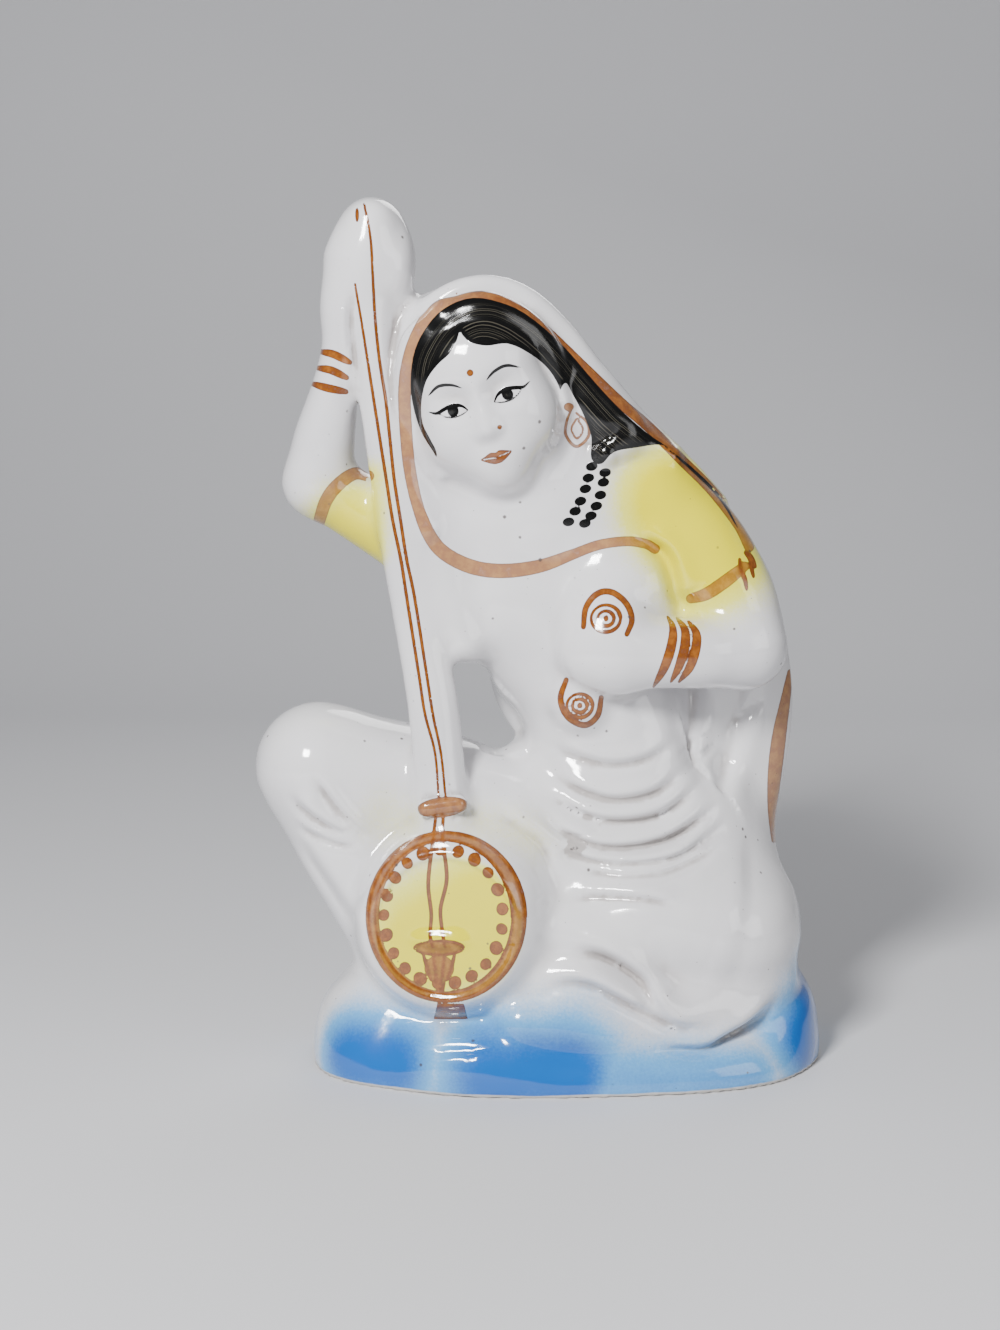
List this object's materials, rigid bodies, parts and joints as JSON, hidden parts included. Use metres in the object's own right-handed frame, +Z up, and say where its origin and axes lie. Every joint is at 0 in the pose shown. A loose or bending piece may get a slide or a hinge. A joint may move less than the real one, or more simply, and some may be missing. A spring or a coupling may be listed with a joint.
{
  "type": "seated musician figurine",
  "caption": "Glazed ceramic figurine of a seated veiled singer with a long-necked lute and hand clappers, on a low oval base.",
  "frame": {"origin": "centre of the flat underside of the base", "axes": "+Z up through the raised hand, +X to the viewer's right, +Y away from the viewer who faces the figure"},
  "size_m": [0.1451, 0.0699, 0.2195],
  "materials": {
    "white_glaze": "glossy white ceramic glaze with hand-painted rust brown, black, yellow and blue"
  },
  "bodies": {
    "root": {"figurine": "white_glaze"}
  },
  "joints": []
}
